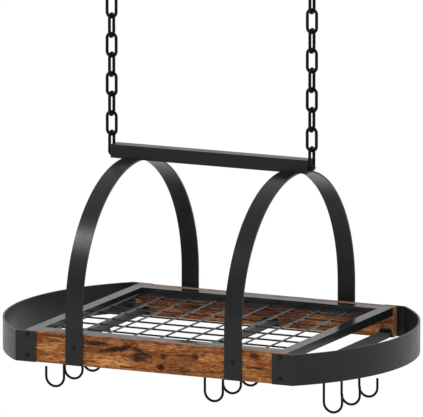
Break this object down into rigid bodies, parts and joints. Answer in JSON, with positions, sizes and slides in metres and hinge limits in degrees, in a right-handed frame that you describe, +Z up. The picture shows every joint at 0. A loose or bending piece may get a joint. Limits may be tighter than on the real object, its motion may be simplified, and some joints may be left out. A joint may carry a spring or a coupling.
{
  "type": "hanging pot rack",
  "caption": "Ceiling-hung pot rack with timber sides, a wire shelf, bowed steel ends, strap arches, chains and swinging wire pot hooks.",
  "frame": {"origin": "in the ceiling plane, midway between the shanks of the two ceiling hooks", "axes": "+X along the boards, +Y to the back, +Z up into the ceiling"},
  "size_m": [0.676, 0.4412, 0.7272],
  "materials": {
    "timber": "oiled, dark grain and knots",
    "band_steel": "satin black powder coat",
    "arch_steel": "satin black powder coat",
    "beam_steel": "satin black powder coat",
    "rail_steel": "satin black powder coat",
    "grid_wire": "satin black powder coat",
    "bar_steel": "satin black powder coat",
    "hook_wire": "satin black coat",
    "chain_wire": "satin black coat",
    "screws": "black"
  },
  "bodies": {
    "ceiling_hooks": {"left_ceiling_hook": "chain_wire", "right_ceiling_hook": "chain_wire"},
    "left_link_1": {"left_link_1": "chain_wire"},
    "left_link_2": {"left_link_2": "chain_wire"},
    "left_link_3": {"left_link_3": "chain_wire"},
    "left_link_4": {"left_link_4": "chain_wire"},
    "left_link_5": {"left_link_5": "chain_wire"},
    "left_link_6": {"left_link_6": "chain_wire"},
    "left_link_7": {"left_link_7": "chain_wire"},
    "left_link_8": {"left_link_8": "chain_wire"},
    "left_link_9": {"left_link_9": "chain_wire"},
    "right_link_1": {"right_link_1": "chain_wire"},
    "right_link_2": {"right_link_2": "chain_wire"},
    "right_link_3": {"right_link_3": "chain_wire"},
    "right_link_4": {"right_link_4": "chain_wire"},
    "right_link_5": {"right_link_5": "chain_wire"},
    "right_link_6": {"right_link_6": "chain_wire"},
    "right_link_7": {"right_link_7": "chain_wire"},
    "right_link_8": {"right_link_8": "chain_wire"},
    "right_link_9": {"right_link_9": "chain_wire"},
    "rack": {"front_board": "timber", "back_board": "timber", "left_end_band": "band_steel", "right_end_band": "band_steel", "left_arch": "arch_steel", "right_arch": "arch_steel", "top_beam": "beam_steel", "left_beam_plug": "beam_steel", "right_beam_plug": "beam_steel", "front_rail": "rail_steel", "back_rail": "rail_steel", "left_rail": "rail_steel", "right_rail": "rail_steel", "grid_long_wires": "grid_wire", "grid_cross_wires": "grid_wire", "left_hook_bar": "bar_steel", "middle_hook_bar": "bar_steel", "right_hook_bar": "bar_steel", "left_hook_eyes": "bar_steel", "middle_hook_eyes": "bar_steel", "right_hook_eyes": "bar_steel", "band_screws": "screws", "arch_screws": "screws", "bar_screws": "screws", "beam_bolts": "screws"},
    "left_front_hook": {"left_front_hook": "hook_wire"},
    "left_mid_hook": {"left_mid_hook": "hook_wire"},
    "left_back_hook": {"left_back_hook": "hook_wire"},
    "middle_front_hook": {"middle_front_hook": "hook_wire"},
    "middle_mid_hook": {"middle_mid_hook": "hook_wire"},
    "middle_back_hook": {"middle_back_hook": "hook_wire"},
    "right_front_hook": {"right_front_hook": "hook_wire"},
    "right_mid_hook": {"right_mid_hook": "hook_wire"},
    "right_back_hook": {"right_back_hook": "hook_wire"}
  },
  "joints": [
    {"name": "left_link_9_swing", "type": "hinge", "parent": "ceiling_hooks", "child": "left_link_9", "pos_m": [-0.176, 0, -0.036], "axis": [1, 0, 0], "range_deg": [-12, 12]},
    {"name": "left_link_8_swing", "type": "hinge", "parent": "left_link_9", "child": "left_link_8", "pos_m": [-0.176, 0, -0.06775], "axis": [0, 1, 0], "range_deg": [-10, 10]},
    {"name": "left_link_7_swing", "type": "hinge", "parent": "left_link_8", "child": "left_link_7", "pos_m": [-0.176, 0, -0.0995], "axis": [1, 0, 0], "range_deg": [-12, 12]},
    {"name": "left_link_6_swing", "type": "hinge", "parent": "left_link_7", "child": "left_link_6", "pos_m": [-0.176, 0, -0.13125], "axis": [0, 1, 0], "range_deg": [-10, 10]},
    {"name": "left_link_5_swing", "type": "hinge", "parent": "left_link_6", "child": "left_link_5", "pos_m": [-0.176, 0, -0.163], "axis": [1, 0, 0], "range_deg": [-12, 12]},
    {"name": "left_link_4_swing", "type": "hinge", "parent": "left_link_5", "child": "left_link_4", "pos_m": [-0.176, 0, -0.19475], "axis": [0, 1, 0], "range_deg": [-10, 10]},
    {"name": "left_link_3_swing", "type": "hinge", "parent": "left_link_4", "child": "left_link_3", "pos_m": [-0.176, 0, -0.2265], "axis": [1, 0, 0], "range_deg": [-12, 12]},
    {"name": "left_link_2_swing", "type": "hinge", "parent": "left_link_3", "child": "left_link_2", "pos_m": [-0.176, 0, -0.25825], "axis": [0, 1, 0], "range_deg": [-10, 10]},
    {"name": "left_link_1_swing", "type": "hinge", "parent": "left_link_2", "child": "left_link_1", "pos_m": [-0.176, 0, -0.29], "axis": [1, 0, 0], "range_deg": [-12, 12]},
    {"name": "right_link_9_swing", "type": "hinge", "parent": "ceiling_hooks", "child": "right_link_9", "pos_m": [0.176, 0, -0.036], "axis": [1, 0, 0], "range_deg": [-12, 12]},
    {"name": "right_link_8_swing", "type": "hinge", "parent": "right_link_9", "child": "right_link_8", "pos_m": [0.176, 0, -0.06775], "axis": [0, 1, 0], "range_deg": [-10, 10]},
    {"name": "right_link_7_swing", "type": "hinge", "parent": "right_link_8", "child": "right_link_7", "pos_m": [0.176, 0, -0.0995], "axis": [1, 0, 0], "range_deg": [-12, 12]},
    {"name": "right_link_6_swing", "type": "hinge", "parent": "right_link_7", "child": "right_link_6", "pos_m": [0.176, 0, -0.13125], "axis": [0, 1, 0], "range_deg": [-10, 10]},
    {"name": "right_link_5_swing", "type": "hinge", "parent": "right_link_6", "child": "right_link_5", "pos_m": [0.176, 0, -0.163], "axis": [1, 0, 0], "range_deg": [-12, 12]},
    {"name": "right_link_4_swing", "type": "hinge", "parent": "right_link_5", "child": "right_link_4", "pos_m": [0.176, 0, -0.19475], "axis": [0, 1, 0], "range_deg": [-10, 10]},
    {"name": "right_link_3_swing", "type": "hinge", "parent": "right_link_4", "child": "right_link_3", "pos_m": [0.176, 0, -0.2265], "axis": [1, 0, 0], "range_deg": [-12, 12]},
    {"name": "right_link_2_swing", "type": "hinge", "parent": "right_link_3", "child": "right_link_2", "pos_m": [0.176, 0, -0.25825], "axis": [0, 1, 0], "range_deg": [-10, 10]},
    {"name": "right_link_1_swing", "type": "hinge", "parent": "right_link_2", "child": "right_link_1", "pos_m": [0.176, 0, -0.29], "axis": [1, 0, 0], "range_deg": [-12, 12]},
    {"name": "rack_tip", "type": "hinge", "parent": "left_link_1", "child": "rack", "pos_m": [-0.176, 0, -0.31695], "axis": [1, 0, 0], "range_deg": [-20, 20]},
    {"name": "left_front_hook_swing", "type": "hinge", "parent": "rack", "child": "left_front_hook", "pos_m": [-0.22, -0.0685, -0.62685], "axis": [0, 1, 0], "range_deg": [-30, 30]},
    {"name": "left_mid_hook_swing", "type": "hinge", "parent": "rack", "child": "left_mid_hook", "pos_m": [-0.22, 0, -0.62685], "axis": [0, 1, 0], "range_deg": [-30, 30]},
    {"name": "left_back_hook_swing", "type": "hinge", "parent": "rack", "child": "left_back_hook", "pos_m": [-0.22, 0.0685, -0.62685], "axis": [0, 1, 0], "range_deg": [-30, 30]},
    {"name": "middle_front_hook_swing", "type": "hinge", "parent": "rack", "child": "middle_front_hook", "pos_m": [0.0115, -0.0685, -0.62685], "axis": [0, 1, 0], "range_deg": [-30, 30]},
    {"name": "middle_mid_hook_swing", "type": "hinge", "parent": "rack", "child": "middle_mid_hook", "pos_m": [0.0115, 0, -0.62685], "axis": [0, 1, 0], "range_deg": [-30, 30]},
    {"name": "middle_back_hook_swing", "type": "hinge", "parent": "rack", "child": "middle_back_hook", "pos_m": [0.0115, 0.0685, -0.62685], "axis": [0, 1, 0], "range_deg": [-30, 30]},
    {"name": "right_front_hook_swing", "type": "hinge", "parent": "rack", "child": "right_front_hook", "pos_m": [0.22, -0.0685, -0.62685], "axis": [0, 1, 0], "range_deg": [-30, 30]},
    {"name": "right_mid_hook_swing", "type": "hinge", "parent": "rack", "child": "right_mid_hook", "pos_m": [0.22, 0, -0.62685], "axis": [0, 1, 0], "range_deg": [-30, 30]},
    {"name": "right_back_hook_swing", "type": "hinge", "parent": "rack", "child": "right_back_hook", "pos_m": [0.22, 0.0685, -0.62685], "axis": [0, 1, 0], "range_deg": [-30, 30]}
  ],
  "couplings": [
    {"joint": "left_link_2_swing", "follows": "left_link_8_swing", "ratio": -1},
    {"joint": "left_link_4_swing", "follows": "left_link_6_swing", "ratio": -1},
    {"joint": "right_link_9_swing", "follows": "left_link_9_swing", "ratio": 1},
    {"joint": "right_link_7_swing", "follows": "left_link_7_swing", "ratio": 1},
    {"joint": "right_link_5_swing", "follows": "left_link_5_swing", "ratio": 1},
    {"joint": "right_link_3_swing", "follows": "left_link_3_swing", "ratio": 1},
    {"joint": "right_link_1_swing", "follows": "left_link_1_swing", "ratio": 1},
    {"joint": "right_link_8_swing", "follows": "left_link_8_swing", "ratio": 1},
    {"joint": "right_link_2_swing", "follows": "left_link_8_swing", "ratio": -1},
    {"joint": "right_link_6_swing", "follows": "left_link_6_swing", "ratio": 1},
    {"joint": "right_link_4_swing", "follows": "left_link_6_swing", "ratio": -1}
  ]
}
